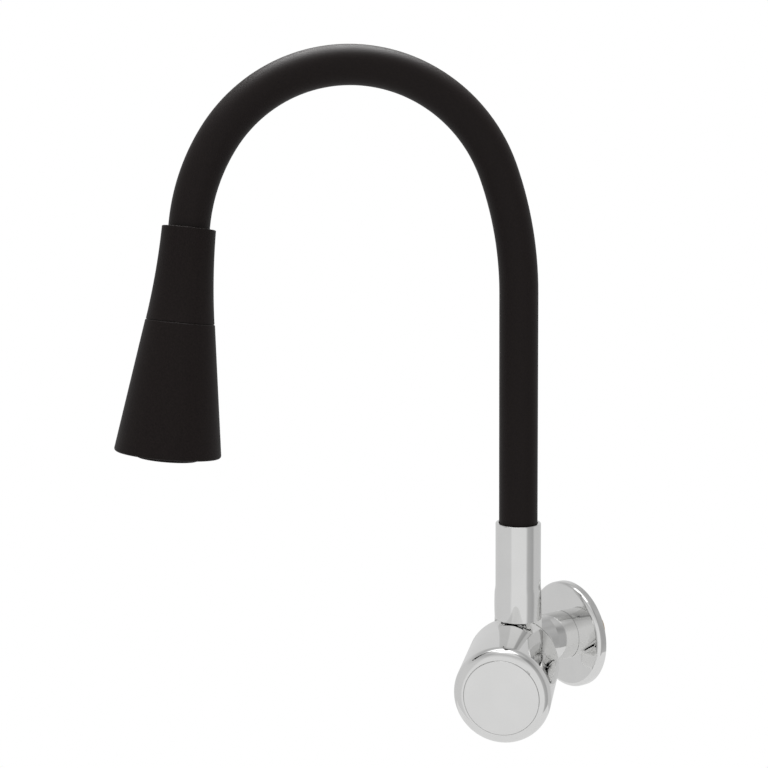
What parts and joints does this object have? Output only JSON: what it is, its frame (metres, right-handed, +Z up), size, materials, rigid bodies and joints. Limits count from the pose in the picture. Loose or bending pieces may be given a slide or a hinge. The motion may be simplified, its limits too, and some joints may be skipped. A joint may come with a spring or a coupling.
{
  "type": "wall-mounted flexible tap",
  "caption": "Wall-mounted tap with a side knob on a chromed base and a black flexible gooseneck arm that carries a bell-shaped spray head.",
  "frame": {"origin": "on the wall plane, on the axis of the inlet thread", "axes": "+Z up, +Y into the wall along the inlet thread, the tap stands out along -Y"},
  "size_m": [0.1341, 0.2482, 0.3428],
  "materials": {
    "chrome": "mirror polished",
    "chromed_brass": "cast brass, mirror chromed outside",
    "brass": "machined",
    "steel": "satin",
    "steel_winding": "wound spring wire",
    "seal_rubber": "matt",
    "white_plastic": "matt",
    "ceramic": "lapped ceramic",
    "black_sleeve": "matt with a fine speckle",
    "inner_hose": "smooth",
    "black_plastic": "matt with a fine texture",
    "nozzle_silicone": "soft"
  },
  "bodies": {
    "base": {"valve_body": "chromed_brass", "wall_flange": "chrome", "flange_seal": "seal_rubber", "stem_sleeve": "chrome", "swivel_bush": "white_plastic", "spigot_o_rings": "seal_rubber", "seat_seal": "seal_rubber", "fixed_disc": "ceramic", "headwork_body": "brass", "headwork_washer": "seal_rubber"},
    "knob": {"knob_shell": "chrome", "knob_insert": "white_plastic", "knob_screw": "steel", "knob_cap": "chrome", "spindle": "brass", "turning_disc": "ceramic", "spindle_o_ring": "seal_rubber", "spindle_clip": "steel"},
    "spout": {"spout_tube": "chrome", "retaining_screw": "steel", "foot_seal": "seal_rubber", "foot_fitting": "brass", "hose_sleeve": "black_sleeve", "gooseneck_core": "steel_winding", "water_hose": "inner_hose"},
    "head": {"head_shell": "black_plastic", "head_fitting": "brass", "head_nut": "brass", "head_washer": "seal_rubber", "head_core": "white_plastic", "core_o_ring": "seal_rubber", "bell_clip": "steel", "mode_disc": "ceramic"},
    "bell": {"head_bell": "black_plastic", "spray_body": "white_plastic", "stream_tube": "white_plastic", "spray_face": "black_plastic", "spray_nozzles": "nozzle_silicone", "aerator_housing": "black_plastic", "aerator_insert": "white_plastic", "aerator_washer": "seal_rubber"}
  },
  "joints": [
    {"name": "knob_turn", "type": "hinge", "parent": "base", "child": "knob", "pos_m": [-0.0017, -0.0382, -0.0097], "axis": [0.7071, -0.7071, 0], "range_deg": [0, 90]},
    {"name": "spout_swivel", "type": "hinge", "parent": "base", "child": "spout", "pos_m": [0, -0.0365, 0.0147], "axis": [0, 0, 1], "range_deg": [-58.5, 101.5]},
    {"name": "arm_bend", "type": "hinge", "parent": "spout", "child": "head", "pos_m": [-0.03145, -0.11634, 0.29915], "axis": [0.9304, -0.3665, 0], "range_deg": [-15, 20], "deforming": ["hose_sleeve", "gooseneck_core", "water_hose"]},
    {"name": "spray_turn", "type": "hinge", "parent": "head", "child": "bell", "pos_m": [-0.05788, -0.19328, 0.21975], "axis": [-0.0002, -0.1235, -0.9924], "range_deg": [0, 45]}
  ]
}
